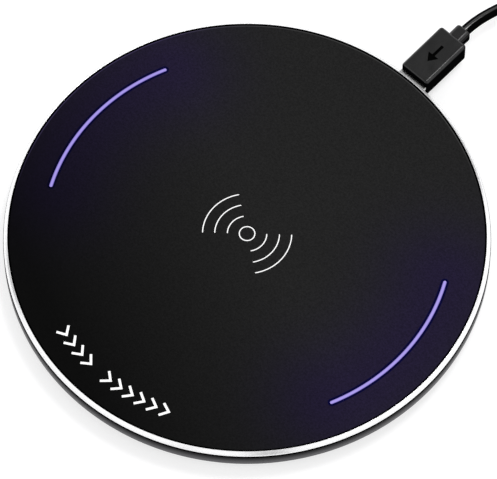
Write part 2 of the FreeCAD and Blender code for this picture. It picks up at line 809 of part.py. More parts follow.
def make_cord():
    thick = size("cord_diameter")
    for label, route in (("cord", CORD_ROUTE), ("cord_tail", TAIL_ROUTE)):
        path = smooth_path([Vector(*point) for point in route], label)
        shaped(label, swept(path, thick, label))

    body = new_body("cord_coil")
    inner = "dims.hank_radius - dims.hank_width / 2"
    outer = "dims.hank_radius + dims.hank_width / 2"
    top = "dims.hank_low + dims.hank_high"
    turned(body, "coil_section", [
        (inner, "dims.hank_low + dims.hank_round"), (inner + " + dims.hank_round", "dims.hank_low"),
        (outer + " - dims.hank_round", "dims.hank_low"), (outer, "dims.hank_low + dims.hank_round"),
        (outer, top + " - dims.hank_round"), (outer + " - dims.hank_round", top),
        (inner + " + dims.hank_round", top), (inner, top + " - dims.hank_round")])
    body.Placement = Placement(Vector(size("hank_x"), size("hank_y"), 0), Rotation())
    keep(body, "cord_coil")

    ties = []
    across = size("hank_width") + 2 * size("tie_slack")
    band = size("tie_thick")
    for angle in (75, 255):
        spin = Rotation(Vector(0, 0, 1), angle)
        loop = Part.makeBox(across + 2 * band, size("tie_width"), size("hank_high") + 2 * band)
        hole = Part.makeBox(across, size("tie_width"), size("hank_high"), Vector(band, 0, band))
        loop = loop.cut(hole)
        loop.translate(Vector(size("hank_radius") - across / 2 - band, -size("tie_width") / 2,
                              size("hank_low") - band))
        loop.Placement = Placement(Vector(size("hank_x"), size("hank_y"), 0), spin) * loop.Placement
        ties.append(loop)
    shaped("cord_ties", Part.makeCompound(ties))


# ---------------------------------------------------------------- large plug

def make_large_plug():
    """Built along +Y from the end of its cord, then turned to point along -X."""
    place = Placement(Vector(size("big_x"), size("big_y"), size("big_z")),
                      Rotation(Vector(0, 0, 1), 90))
    grip_start = "dims.big_relief_length"
    grip_end = "dims.big_relief_length + dims.big_length"
    shell_end = grip_end + " + dims.big_shell_length"

    relief = new_body("large_plug_relief")
    turned(relief, "relief_cone", [
        ("0", "0"), ("dims.big_relief_tip", "0"), ("dims.big_relief_radius", grip_start),
        ("0", grip_start)])
    relief.Placement = place * Placement(Vector(0, 0, 0), Rotation(Vector(1, 0, 0), -90))
    keep(relief, "large_plug_relief")

    grip = new_body("large_plug_grip")
    prism(grip, "big_block", "XZ_Plane", grip_start, grip_end,
          lambda sketch: centred(sketch, "dims.big_width", "dims.big_thick", "0"))
    rounded(grip, "big_sides", "dims.big_edge", along_y)
    rounded(grip, "big_rear", "dims.big_rear_edge", at_y(size("big_relief_length")))
    rounded(grip, "big_face", "dims.big_face_edge",
            at_y(size("big_relief_length") + size("big_length")))
    grip.Placement = place
    keep(grip, "large_plug_grip")

    shell = new_body("large_plug_shell")
    prism(shell, "big_can", "XZ_Plane", grip_end, shell_end,
          lambda sketch: centred(sketch, "dims.big_shell_width", "dims.big_shell_thick", "0"))
    rounded(shell, "big_can_sides", "dims.big_can_edge", along_y)
    wall = "2 * dims.big_shell_wall"
    prism(shell, "big_bore", "XZ_Plane", grip_end, shell_end,
          lambda sketch: centred(sketch, "(dims.big_shell_width - %s)" % wall,
                                 "(dims.big_shell_thick - %s)" % wall, "0"), cut=True)

    def windows(sketch):
        middle = grip_end + " + dims.big_window_place * dims.big_shell_length"
        for side in (-1, 1):
            centre = "%d * dims.big_shell_width / 4" % side
            half = "dims.big_window / 2"
            rectangle(sketch, centre + " - " + half, centre + " + " + half,
                      middle + " - " + half, middle + " + " + half)

    prism(shell, "big_windows", "XY_Plane", "-1 * dims.big_shell_thick", "dims.big_shell_thick",
          windows, cut=True)
    shell.Placement = place
    keep(shell, "large_plug_shell")

    tongue = new_body("large_plug_tongue")
    high = "dims.big_shell_thick / 2 - dims.big_shell_wall - dims.big_tongue_fit"
    low = high + " - dims.big_tongue_thick"
    prism(tongue, "big_blade", "XZ_Plane", grip_end, shell_end + " - dims.big_tongue_inset",
          lambda sketch: rectangle(sketch, "-1 * dims.big_tongue_width / 2",
                                   "dims.big_tongue_width / 2", low, high))
    tongue.Placement = place
    keep(tongue, "large_plug_tongue")

    pins = new_body("large_plug_contacts")

    def blades(sketch):
        for centre in (-3.5, -1.0, 1.0, 3.5):
            rectangle(sketch, "%s - dims.big_pin_half" % centre,
                      "%s + dims.big_pin_half" % centre, low + " - dims.big_pin_thick", low)

    prism(pins, "big_pins", "XZ_Plane", grip_end, shell_end + " - dims.big_pin_inset", blades)
    pins.Placement = place
    keep(pins, "large_plug_contacts")


# ---------------------------------------------------------------- assembly

make_top_panel()
make_light_guide("right_light_guide", 0)
make_light_guide("left_light_guide", 180)
flat_ring("panel_adhesive", "dims.glue_inner", "dims.glue_outer", "dims.flange_high", "dims.panel_low")
make_trim_ring()
make_bottom_shell()
flat_ring("foot_ring", "dims.foot_inner + dims.foot_gap", "dims.foot_outer - dims.foot_gap",
          "0", "dims.shell_low + dims.foot_depth")
make_screws("case_screws", "dims.post_circle", SCREW_ANGLES,
            ("dims.case_head_radius", "dims.case_head_low", "dims.case_head_high"),
            ("dims.case_shank_radius", "dims.case_head_high", "dims.case_shank_high"))

flat_ring("ferrite_tape", None, "dims.ferrite_radius - dims.tape_inset", "dims.rib_high",
          "dims.rib_high + dims.tape_thick")
flat_ring("ferrite_sheet", None, "dims.ferrite_radius", "dims.rib_high + dims.tape_thick",
          "dims.ferrite_high")
flat_ring("coil_tape", "dims.coil_inner", "dims.coil_inner + dims.coil_tape_width", "dims.ferrite_high",
          "dims.ferrite_high + dims.tape_thick")
winding = spiral_path()
shaped("charging_coil", swept(winding, size("coil_wire"), "charging_coil"))
make_coil_leads(winding)
make_thermistor()

make_circuit_board()
make_screws("board_screws", "dims.board_post_circle", BOARD_SCREW_ANGLES,
            ("dims.board_head_radius", "dims.board_high", "dims.board_head_high"),
            ("dims.board_shank_radius", "dims.board_pilot_low + dims.board_screw_gap", "dims.board_high"))
make_board_parts()
make_port()

make_small_plug()
make_cord()
make_large_plug()
doc.recompute()

for item in doc.Objects:
    if "Invalid" in item.State or "Error" in item.State:
        raise RuntimeError("%s failed: %s" % (item.Label, item.State))
for node in nodes:
    if node.Shape.isNull() or not node.Shape.isValid():
        raise RuntimeError("%s has no valid shape" % node.Label)

os.makedirs("parts", exist_ok=True)
for node in nodes:
    node.Shape.exportStep(os.path.join("parts", node.Label + ".step"))
print("wrote %d parts" % len(nodes))
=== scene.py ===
"""Looks of the round wireless charging pad and its USB lead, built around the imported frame."""

import math

import bmesh
import bpy
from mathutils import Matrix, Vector


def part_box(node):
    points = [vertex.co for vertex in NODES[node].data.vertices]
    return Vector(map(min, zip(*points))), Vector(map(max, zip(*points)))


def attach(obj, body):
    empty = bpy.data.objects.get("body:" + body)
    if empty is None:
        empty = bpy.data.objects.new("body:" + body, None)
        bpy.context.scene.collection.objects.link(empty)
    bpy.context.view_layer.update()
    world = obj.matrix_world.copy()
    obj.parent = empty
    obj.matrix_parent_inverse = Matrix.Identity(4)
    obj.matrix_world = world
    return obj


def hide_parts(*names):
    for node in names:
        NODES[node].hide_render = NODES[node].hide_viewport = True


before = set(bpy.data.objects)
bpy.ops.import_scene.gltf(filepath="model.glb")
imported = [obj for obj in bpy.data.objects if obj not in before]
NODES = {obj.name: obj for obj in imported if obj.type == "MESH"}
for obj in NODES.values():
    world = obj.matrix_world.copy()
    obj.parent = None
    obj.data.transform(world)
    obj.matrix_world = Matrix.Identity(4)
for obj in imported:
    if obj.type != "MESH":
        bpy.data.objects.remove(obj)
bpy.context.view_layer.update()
MM = 0.001

# Places read from the frame, in metres
PANEL_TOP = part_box("top_panel")[1].z
PAD_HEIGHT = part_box("trim_ring")[1].z
GUIDE_FOOT_WIDTH = 2.4 * MM
LIGHT_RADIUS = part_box("right_light_guide")[1].x - GUIDE_FOOT_WIDTH / 2
LIGHT_WIDTH = 0.74 * MM
LIGHT_HALF_SPAN = math.radians(25.2)
PANEL_TURN = math.radians(2.3)


# ---------------------------------------------------------------- camera

CAMERA_AZIMUTH = math.radians(43.0)
CAMERA_ELEVATION = math.radians(63.05)
CAMERA_DISTANCE = 1.195
CAMERA_LENS = 406.5
AIM_RIGHT = 0.30 * MM
AIM_AWAY = -1.46 * MM
RIGHT = Vector((math.cos(CAMERA_AZIMUTH), math.sin(CAMERA_AZIMUTH), 0))
AWAY = Vector((-math.sin(CAMERA_AZIMUTH), math.cos(CAMERA_AZIMUTH), 0))


def make_camera():
    centre = Vector((0, 0, PAD_HEIGHT))
    rise = math.sin(CAMERA_ELEVATION)
    back = AWAY * -math.cos(CAMERA_ELEVATION) + Vector((0, 0, rise))
    aim = centre + RIGHT * AIM_RIGHT + AWAY * AIM_AWAY
    data = bpy.data.cameras.new("camera")
    data.lens = CAMERA_LENS
    data.sensor_width = 36
    data.clip_start = 0.01
    data.clip_end = 50
    camera = bpy.data.objects.new("camera", data)
    bpy.context.scene.collection.objects.link(camera)
    camera.location = centre + back * CAMERA_DISTANCE
    camera.rotation_mode = "QUATERNION"
    camera.rotation_quaternion = (aim - camera.location).to_track_quat("-Z", "Y")
    bpy.context.scene.camera = camera


# ---------------------------------------------------------------- cord

CORD_DIAMETER = 2.4 * MM
CORD_ROUTE = [(0.0, 0.0693, 0.0047), (0.0, 0.0724, 0.0047), (0.00145, 0.0788, 0.0043),
              (0.0034, 0.0846, 0.0031), (0.0050, 0.0902, 0.0021), (0.0061, 0.0952, 0.0017)]
TAIL_ROUTE = [(0.00739, 0.08476, 0.0089), (0.0052, 0.08946, 0.0087), (0.0020, 0.0933, 0.0077),
              (-0.0022, 0.0960, 0.0062), (-0.0070, 0.09745, 0.0047), (-0.0116, 0.0976, 0.0038),
              (-0.0152, 0.0976, 0.0038)]
COIL_RADIUS = 13.8 * MM
COIL_START = math.radians(169.1)
COIL_TURNS = 10.9
COIL_ROWS = 4
POINTS_PER_TURN = 16


def coil_points():
    """The coil's turns: four flat spirals on top of each other, wound in, out, in and out."""
    low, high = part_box("cord_coil")
    centre = (low + high) / 2
    row_turns = COIL_TURNS / COIL_ROWS
    span = CORD_DIAMETER * row_turns
    step = 2 * math.pi / POINTS_PER_TURN
    points = []
    for number in range(int(COIL_TURNS * POINTS_PER_TURN)):
        turn = (number + 0.5) / POINTS_PER_TURN
        row, part = divmod(turn / row_turns, 1)
        offset = span * (0.5 - part) * (1 if row % 2 == 0 else -1)
        height = low.z + CORD_DIAMETER / 2
        for boundary in range(1, COIL_ROWS):
            climb = min(max((turn - boundary * row_turns) / 0.25 + 0.5, 0), 1)
            height += CORD_DIAMETER * climb * climb * (3 - 2 * climb)
        angle = COIL_START - 2 * math.pi * turn
        radius = (COIL_RADIUS + offset) / math.cos(step / 2)
        points.append((centre.x + radius * math.cos(angle), centre.y + radius * math.sin(angle),
                       height))
    return points


def nurbs_tube(name, points, radius, sides=8):
    """A round tube along one smooth spline."""
    data = bpy.data.curves.new(name, "CURVE")
    data.dimensions = "3D"
    data.resolution_u = 8
    data.bevel_depth = radius
    data.bevel_resolution = sides
    data.use_fill_caps = True
    spline = data.splines.new("NURBS")
    spline.points.add(len(points) - 1)
    for target, point in zip(spline.points, points):
        target.co = (*point, 1)
    spline.order_u = 3
    spline.use_endpoint_u = True
    tube = bpy.data.objects.new(name, data)
    bpy.context.scene.collection.objects.link(tube)
    return tube


def make_cord():
    cord = nurbs_tube("lead_cord", CORD_ROUTE + coil_points() + TAIL_ROUTE, CORD_DIAMETER / 2)
    cord.data.materials.append(cord_material())
    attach(cord, "lead")
    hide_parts("cord", "cord_coil", "cord_tail")
    on_it = ["small_plug_neck", "small_plug_grip", "small_plug_shell", "small_plug_insulator",
             "small_plug_contacts", "large_plug_relief", "large_plug_grip", "large_plug_shell",
             "large_plug_tongue", "large_plug_contacts", make_ties(), make_arrow()]


# ---------------------------------------------------------------- materials

class Graph:
    """A node tree, with short ways to add and join nodes."""

    def __init__(self, owner):
        owner.use_nodes = True
        self.tree = owner.node_tree

    def node(self, kind, **settings):
        made = self.tree.nodes.new(kind)
        for key, value in settings.items():
            setattr(made, key, value)
        return made

    def join(self, source, target):
        self.tree.links.new(source, target)

    def feed(self, socket, value):
        """Join an output to an input, or set the input to a plain value."""
        if isinstance(value, bpy.types.NodeSocket):
            self.join(value, socket)
        else:
            socket.default_value = value

    def math(self, operation, *values, clamp=False):
        made = self.node("ShaderNodeMath", operation=operation, use_clamp=clamp)
        for socket, value in zip(made.inputs, values):
            self.feed(socket, value)
        return made.outputs[0]

    def place(self):
        """The point's place in the row's frame."""
        return self.node("ShaderNodeTexCoord").outputs["Object"]

    def split_place(self):
        """The place's X, Y and Z."""
        made = self.node("ShaderNodeSeparateXYZ")
        self.join(self.place(), made.inputs[0])
        return made.outputs["X"], made.outputs["Y"], made.outputs["Z"]

    def radius(self, x, y):
        """How far a place is from the pad's axis."""
        return self.math("SQRT", self.math("ADD", self.math("POWER", x, 2.0),
                                           self.math("POWER", y, 2.0)))

    def along(self, vector, axis):
        """How far a vector reaches along an axis."""
        made = self.node("ShaderNodeVectorMath", operation="DOT_PRODUCT")
        self.join(vector, made.inputs[0])
        made.inputs[1].default_value = axis
        return made.outputs["Value"]

    def ease(self, value, low, high):
        """0 below low, 1 above high, smooth between."""
        made = self.node("ShaderNodeMapRange", interpolation_type="SMOOTHSTEP")
        self.feed(made.inputs["Value"], value)
        made.inputs["From Min"].default_value = low
        made.inputs["From Max"].default_value = high
        return made.outputs[0]

    def noise(self, scale, detail=2.0, vector=None):
        made = self.node("ShaderNodeTexNoise")
        made.inputs["Scale"].default_value = scale
        made.inputs["Detail"].default_value = detail
        self.join(vector if vector is not None else self.place(), made.inputs["Vector"])
        return made.outputs["Fac"]

    def spread(self, value, low, high):
        """A 0 to 1 value stretched between two limits."""
        made = self.node("ShaderNodeMapRange")
        self.feed(made.inputs["Value"], value)
        made.inputs["To Min"].default_value = low
        made.inputs["To Max"].default_value = high
        return made.outputs[0]

    def blend(self, amount, first, second):
        made = self.node("ShaderNodeMix", data_type="RGBA")
        self.feed(made.inputs[0], amount)
        self.feed(made.inputs[6], first)
        self.feed(made.inputs[7], second)
        return made.outputs[2]

    def scaled(self, colour, amount):
        """A colour times a grey level or a second colour."""
        made = self.node("ShaderNodeMix", data_type="RGBA", blend_type="MULTIPLY")
        made.inputs[0].default_value = 1.0
        self.feed(made.inputs[6], colour)
        self.feed(made.inputs[7], amount)
        return made.outputs[2]


class Finish(Graph):
    """A new material's node tree."""

    def __init__(self, name):
        self.material = bpy.data.materials.new(name)
        super().__init__(self.material)
        self.shader = self.tree.nodes["Principled BSDF"]

    def bump(self, height, strength, distance):
        made = self.node("ShaderNodeBump")
        made.inputs["Strength"].default_value = strength
        made.inputs["Distance"].default_value = distance
        self.join(height, made.inputs["Height"])
        self.join(made.outputs[0], self.shader.inputs["Normal"])

    def set(self, **values):
        for key, value in values.items():
            self.feed(self.shader.inputs[key.replace("_", " ")], value)


def rgb(red, green, blue):
    return (red, green, blue, 1.0)


def grained(name, dark, light, rough, scale, bump, metal=0.0, specular=0.5):
    """A moulded or plated finish: two close colours, uneven roughness and a fine grain."""
    graph = Finish(name)
    cloud = graph.noise(scale * 0.05, 3.0)
    grain = graph.noise(scale, 4.0)
    graph.set(Base_Color=graph.blend(cloud, dark, light), Metallic=metal,
              Roughness=graph.spread(grain, rough * 0.85, min(rough * 1.15, 1.0)),
              Specular_IOR_Level=specular)
    graph.bump(grain, 0.4, bump)
    return graph.material


def moulded_black(name, shine, rough, scale, grain_depth, band=(0.15, 0.75), crown=0.58):
    """Soft black plastic: dull on its sides and below, glossier over a band of upward slopes."""
    graph = Finish(name)
    facing = graph.along(graph.node("ShaderNodeNewGeometry").outputs["Normal"], (0, 0, 1))
    up = graph.ease(facing, *band)
    flat = graph.ease(facing, 0.96, 0.995)
    grain = graph.noise(scale, 3.0)
    cloud = graph.noise(420, 3.0)
    gloss = graph.math("MULTIPLY", graph.math("MULTIPLY_ADD", flat, crown - 1, 1.0),
                       graph.spread(cloud, 0.70, 1.30))
    graph.set(Base_Color=graph.blend(cloud, rgb(0.0014, 0.0014, 0.0015), rgb(0.0028, 0.0028, 0.0030)),
              Roughness=graph.spread(grain, rough * 0.9, rough * 1.1),
              Specular_IOR_Level=graph.math("MULTIPLY", graph.math("MULTIPLY", up, shine), gloss))
    graph.bump(grain, 0.25, grain_depth)
    return graph.material


def cord_material():
    return moulded_black("cord_jacket", shine=0.75, rough=0.10, scale=8000, grain_depth=0.004 * MM,
                         band=(0.95, 0.99), crown=1.0)


def arc_distance(graph):
    """How far a point is from the nearer light arc, seen from above, in metres."""
    place = graph.place()
    facing = graph.along(place, (math.cos(PANEL_TURN), math.sin(PANEL_TURN), 0))
    across = graph.math("ABSOLUTE", facing)
    upward = graph.along(place, (-math.sin(PANEL_TURN), math.cos(PANEL_TURN), 0))
    # the second arc is the first one turned half round, so it swaps the upward sign
    sign = graph.math("SIGN", facing)
    angle = graph.math("ARCTAN2", graph.math("MULTIPLY", upward, sign), across)
    held = graph.math("MINIMUM", graph.math("MAXIMUM", angle, -LIGHT_HALF_SPAN), LIGHT_HALF_SPAN)
    away_x = graph.math("SUBTRACT", across,
                        graph.math("MULTIPLY", graph.math("COSINE", held), LIGHT_RADIUS))
    away_y = graph.math("SUBTRACT", graph.math("MULTIPLY", upward, sign),
                        graph.math("MULTIPLY", graph.math("SINE", held), LIGHT_RADIUS))
    squared = graph.math("ADD", graph.math("MULTIPLY", away_x, away_x),
                         graph.math("MULTIPLY", away_y, away_y))
    return graph.math("SQRT", squared)


def falloff(graph, distance, reach):
    """1 at an arc, fading smoothly to 0 at about three times the reach."""
    ratio = graph.math("DIVIDE", distance, reach)
    return graph.math("EXPONENT", graph.math("MULTIPLY", graph.math("MULTIPLY", ratio, ratio), -0.5))


# Painted reflection: how fast the lacquer's colour grows lighter to the right and away from the
# camera, per metre
PANEL_PAINTED_REFLECTION = tuple(RIGHT * 15.8 + AWAY * 7.2)


def panel_material():
    """Sand-blasted black lacquer with painted light in its colour: the lit arcs' violet glow, a
    lightening to the right and away, a far-edge highlight and seam shade.
    """
    graph = Finish("panel_lacquer")
    distance = arc_distance(graph)
    grain = graph.noise(4200, 2.0)
    mottle = graph.noise(2300, 2.0)
    cloud = graph.noise(50, 3.0)
    # painted reflection: the lacquer's colour lightens to the right and away
    painted_reflection = graph.math("ADD", graph.along(graph.place(), PANEL_PAINTED_REFLECTION), 0.94)
    painted_reflection = graph.math("MINIMUM", graph.math("MAXIMUM", painted_reflection, 0.16), 1.0)
    level = graph.math("MULTIPLY", painted_reflection, graph.spread(cloud, 0.94, 1.06))
    level = graph.math("MULTIPLY", level, graph.spread(mottle, 0.45, 1.55))
    # painted light: the arcs' glow colours the lacquer, violet a little way off and deep blue right
    # beside them
    arc_glow = graph.blend(falloff(graph, distance, 9.5 * MM), rgb(1, 1, 1), rgb(0.95, 0.66, 2.1))
    arc_glow = graph.blend(graph.ease(distance, 0.80 * MM, 0.96 * MM), rgb(0.02, 0.02, 2.2), arc_glow)
    # a painted highlight: a thin sheen just inside the far edge; then painted shade: a black border
    # up to the seam
    x, y, _ = graph.split_place()
    radius = graph.radius(x, y)
    sheen = graph.math("SUBTRACT", graph.ease(radius, 50.38 * MM, 50.48 * MM),
                       graph.ease(radius, 50.62 * MM, 50.70 * MM))
    far = graph.ease(graph.along(graph.place(), tuple(AWAY)), 8 * MM, 28 * MM)
    level = graph.math("ADD", level, graph.math("MULTIPLY", graph.math("MULTIPLY", sheen, far), 2.0))
    # painted shade: the panel's edge turns black where it meets the shaded seam
    inner = graph.math("MULTIPLY_ADD", graph.ease(radius, 50.66 * MM, 50.73 * MM), -0.96, 1.0)
    colour = graph.scaled(graph.scaled(rgb(0.0125, 0.0125, 0.0125), level), arc_glow)
    graph.set(Base_Color=graph.scaled(colour, inner), Roughness=graph.spread(cloud, 0.48, 0.58),
              Specular_IOR_Level=0.02)
    graph.bump(grain, 0.4, 0.02 * MM)
    return graph.material


def light_material():
    """Milky light guide: brightest along its middle, deeper blue at its edges."""
    graph = Finish("light_guide")
    x, y, _ = graph.split_place()
    radius = graph.radius(x, y)
    side = graph.math("DIVIDE", graph.math("ABSOLUTE", graph.math("SUBTRACT", radius, LIGHT_RADIUS)),
                      LIGHT_WIDTH / 2)
    edge = graph.math("POWER", graph.math("MINIMUM", side, 1.0), 2.5)
    colour = graph.blend(edge, rgb(0.42, 0.33, 0.90), rgb(0.08, 0.05, 0.42))
    graph.set(Base_Color=rgb(0.04, 0.03, 0.1), Roughness=0.35, Emission_Color=colour,
              Emission_Strength=graph.spread(graph.noise(400), 0.66, 0.82))
    return graph.material


def print_material():
    graph = Finish("white_print")
    grain = graph.noise(6000, 2.0)
    # painted light: the white ink also glows faintly, though it is no lamp
    graph.set(Base_Color=graph.blend(grain, rgb(0.78, 0.78, 0.78), rgb(0.92, 0.92, 0.92)),
              Roughness=0.55, Emission_Color=rgb(1.0, 1.0, 1.0), Emission_Strength=0.12)
    return graph.material


def floor_material():
    graph = Finish("studio_floor")
    # painted light: beyond the pad the floor glows more, filling in shadows there
    painted_far_light = graph.ease(graph.along(graph.place(), tuple(AWAY)), 0.03, 0.09)
    graph.set(Base_Color=graph.blend(graph.noise(6, 2.0), rgb(0.44, 0.44, 0.445),
                                     rgb(0.46, 0.46, 0.465)),
              Roughness=0.9, Specular_IOR_Level=0.1, Emission_Color=rgb(1.0, 1.0, 1.0),
              Emission_Strength=graph.math("MULTIPLY_ADD", painted_far_light, 0.14, 0.64))
    return graph.material


# ---------------------------------------------------------------- mesh helpers

def new_mesh(name, verts, faces, smooth=True):
    data = bpy.data.meshes.new(name)
    data.from_pydata(verts, [], faces)
    data.validate()
    for face in data.polygons:
        face.use_smooth = smooth
    made = bpy.data.objects.new(name, data)
    bpy.context.scene.collection.objects.link(made)
    return made


def tidy_normals(made):
    """Point every face outwards."""
    mesh = bmesh.new()
    mesh.from_mesh(made.data)
    bmesh.ops.recalc_face_normals(mesh, faces=mesh.faces)
    mesh.to_mesh(made.data)
    mesh.free()


def finish_piece(made, body, material):
    made.data.materials.clear()
    made.data.materials.append(material)
    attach(made, body)
    return made


# ---------------------------------------------------------------- print on the panel

PRINT_THICK = 0.015 * MM
ICON_RING = 1.66 * MM
ICON_ARCS = (4.2 * MM, 6.9 * MM, 9.5 * MM)
ICON_HALF_SPAN = math.radians(39.2)
ICON_LINE = 0.225 * MM


def slab(name, outlines):
    """Thin printed shapes: each outline is a closed ring of (x, y), and quads join its two rails."""
    verts = []
    faces = []
    for left, right, closed in outlines:
        base = len(verts)
        count = len(left)
        for height in (PANEL_TOP - PRINT_THICK / 3, PANEL_TOP + PRINT_THICK):
            verts += [(x, y, height) for x, y in left]
            verts += [(x, y, height) for x, y in right]
        low_left, low_right = base, base + count
        top_left, top_right = base + 2 * count, base + 3 * count
        for i in range(count if closed else count - 1):
            j = (i + 1) % count
            faces += [(top_left + i, top_left + j, top_right + j, top_right + i),
                      (low_left + j, low_left + i, low_right + i, low_right + j),
                      (low_left + i, low_left + j, top_left + j, top_left + i),
                      (low_right + j, low_right + i, top_right + i, top_right + j)]
        if not closed:
            last = count - 1
            faces += [(low_left, top_left, top_right, low_right),
                      (low_left + last, low_right + last, top_right + last, top_left + last)]
    made = new_mesh(name, verts, faces, smooth=False)
    tidy_normals(made)
    return made


def arc_band(radius, start, end, width, steps):
    """Two rails of an arc about the pad's centre, narrowed over its rounded ends."""
    left = []
    right = []
    cap = width / 2 / radius
    for i in range(steps + 1):
        angle = start + (end - start) * i / steps
        near = min(abs(angle - start), abs(end - angle)) / cap
        half = width / 2 * (math.sqrt(1 - (1 - min(near, 1)) ** 2) if near < 1 else 1)
        half = max(half, width * 0.12)
        left.append(((radius - half) * math.cos(angle), (radius - half) * math.sin(angle)))
        right.append(((radius + half) * math.cos(angle), (radius + half) * math.sin(angle)))
    return left, right, False


def stroke(points, width):
    """Two rails of a bent line with mitred corners."""
    left = []
    right = []
    for i, point in enumerate(points):
        here = Vector(point)
        before = (here - Vector(points[i - 1])).normalized() if i else None
        after = (Vector(points[i + 1]) - here).normalized() if i + 1 < len(points) else None
        along = ((before or after) + (after or before)).normalized()
        across = Vector((-along.y, along.x))
        reach = width / 2 / max(abs(along.dot(before or after)), 0.3)
        left.append(tuple(here + across * reach))
        right.append(tuple(here - across * reach))
    return left, right, False


def make_icon():
    bands = []
    steps = 64
    ring = [2 * math.pi * i / steps for i in range(steps)]
    inner, outer = ICON_RING - ICON_LINE / 2, ICON_RING + ICON_LINE / 2
    bands.append(([(inner * math.cos(a), inner * math.sin(a)) for a in ring],
                  [(outer * math.cos(a), outer * math.sin(a)) for a in ring], True))
    for radius in ICON_ARCS:
        for facing in (PANEL_TURN, PANEL_TURN + math.pi):
            bands.append(arc_band(radius, facing - ICON_HALF_SPAN, facing + ICON_HALF_SPAN,
                                  ICON_LINE, 72))
    finish_piece(slab("print_icon", bands), "pad", print_material())


MARK_RADIUS = 45.0 * MM
MARK_HEIGHT = 3.5 * MM
MARK_LINE = 0.53 * MM
MARK_HALF_SPAN = math.radians(19.4)
MARK_DEPTH_SHARE = 0.24
MARK_GAP_AFTER = 4
MARK_COUNT = 10


def make_marks():
    """A row of chevrons along the rim opposite the port: four, a gap, then six."""
    bands = []
    slots = MARK_COUNT + 1
    pitch = 2 * MARK_HALF_SPAN / (slots - 0.35)
    for number in range(slots):
        if number == MARK_GAP_AFTER:
            continue
        middle = PANEL_TURN - math.pi / 2 - MARK_HALF_SPAN + pitch * (number + 0.32)
        outward = Vector((math.cos(middle), math.sin(middle)))
        along = Vector((-outward.y, outward.x))
        centre = outward * MARK_RADIUS
        tall = outward * (MARK_HEIGHT / 2 - MARK_LINE / 2)
        deep = along * MARK_HEIGHT * MARK_DEPTH_SHARE
        points = [centre + tall - deep, centre + deep, centre - tall - deep]
        bands.append(stroke([tuple(point) for point in points], MARK_LINE))
    finish_piece(slab("print_marks", bands), "pad", print_material())


ARROW_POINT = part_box("small_plug_grip")[0].y + 4.2 * MM
ARROW_HEAD = 2.0 * MM
ARROW_SHAFT = 3.0 * MM
ARROW_HALF_HEAD = 1.4 * MM
ARROW_HALF_SHAFT = 0.35 * MM
ARROW_DEPTH = 0.2 * MM


def make_arrow():
    """A black sheet on the floor of the grip's sunk arrow, which points to the pad: painted shade in
    the recess.
    """
    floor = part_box("small_plug_grip")[1].z - ARROW_DEPTH
    head = ARROW_POINT + ARROW_HEAD
    tail = head + ARROW_SHAFT
    outline = [(0, ARROW_POINT), (ARROW_HALF_HEAD, head), (ARROW_HALF_SHAFT, head),
               (ARROW_HALF_SHAFT, tail), (-ARROW_HALF_SHAFT, tail), (-ARROW_HALF_SHAFT, head),
               (-ARROW_HALF_HEAD, head)]
    count = len(outline)
    verts = [(x, y, floor - PRINT_THICK) for x, y in outline]
    verts += [(x, y, floor + PRINT_THICK) for x, y in outline]
    faces = [tuple(range(count, 2 * count)), tuple(range(count - 1, -1, -1))]
    faces += [(i, (i + 1) % count, (i + 1) % count + count, i + count) for i in range(count)]
    arrow = new_mesh("grip_arrow_recess_shade", verts, faces, smooth=False)
    tidy_normals(arrow)
    graph = Finish("arrow_recess_shade")
    grain = graph.noise(5000, 2.0)
    graph.set(Base_Color=graph.blend(grain, rgb(0.0004, 0.0004, 0.0004), rgb(0.001, 0.001, 0.001)),
              Roughness=0.9, Specular_IOR_Level=0.02)
    return finish_piece(arrow, "lead", graph.material)


# ---------------------------------------------------------------- trim ring

# The section, as (radius, height) in millimetres: wall, groove, chamfer, flange and lower taper
RIM_PROFILE = [(52.0, 3.40), (52.0, 6.28), (51.97, 6.32), (51.88, 6.34), (51.78, 6.36),
               (51.76, 6.42), (51.76, 6.66), (51.78, 6.70), (51.87, 6.72), (51.89, 6.75),
               (51.88, 6.79), (51.13, 7.54), (51.10, 7.555), (51.07, 7.54), (51.06, 7.50),
               (51.06, 6.30), (49.40, 6.30), (49.40, 5.70), (50.40, 5.70), (50.40, 2.0),
               (50.68, 2.0), (50.74, 2.03), (51.93, 3.22), (51.985, 3.30)]
RIM_STEPS = 720


def make_trim_ring():
    """The turned ring, with a fine groove under its bright chamfer and the port's hole."""
    rail = [(radius * MM, height * MM) for radius, height in RIM_PROFILE]
    verts = []
    faces = []
    for i in range(RIM_STEPS):
        angle = 2 * math.pi * i / RIM_STEPS
        verts += [(radius * math.cos(angle), radius * math.sin(angle), height)
                  for radius, height in rail]
    count = len(rail)
    for i in range(RIM_STEPS):
        for j in range(count):
            k = (j + 1) % count
            after = (i + 1) % RIM_STEPS
            faces.append((i * count + j, i * count + k, after * count + k, after * count + j))
    ring = new_mesh("rim", verts, faces)
    tidy_normals(ring)
    cut_port(ring)
    ring.data.materials.append(rim_wall_material())
    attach(ring, "pad")
    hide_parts("trim_ring")


def cut_port(ring):
    """Cut the port's mouth through the ring, as wide as the frame's own hole."""
    low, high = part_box("port_shell")
    gap = 0.1 * MM
    half = high.x + gap
    bottom, top = low.z - gap, high.z + gap
    corner = 1.1 * MM
    outline = [(-half, top), (-half, bottom + corner), (-half + corner, bottom),
               (half - corner, bottom), (half, bottom + corner), (half, top)]
    near, far = high.y - 5 * MM, high.y + 3 * MM
    verts = [(x, near, z) for x, z in outline] + [(x, far, z) for x, z in outline]
    count = len(outline)
    faces = [tuple(range(count)), tuple(range(2 * count - 1, count - 1, -1))]
    faces += [(i, i + count, (i + 1) % count + count, (i + 1) % count) for i in range(count)]
    cutter = new_mesh("port_cutter", verts, faces, smooth=False)
    tidy_normals(cutter)
    boolean = ring.modifiers.new("port", "BOOLEAN")
    boolean.operation = "DIFFERENCE"
    boolean.solver = "EXACT"
    boolean.object = cutter
    graph = bpy.context.evaluated_depsgraph_get()
    result = bpy.data.meshes.new_from_object(ring.evaluated_get(graph))
    ring.modifiers.clear()
    ring.data = result
    bpy.data.objects.remove(cutter)


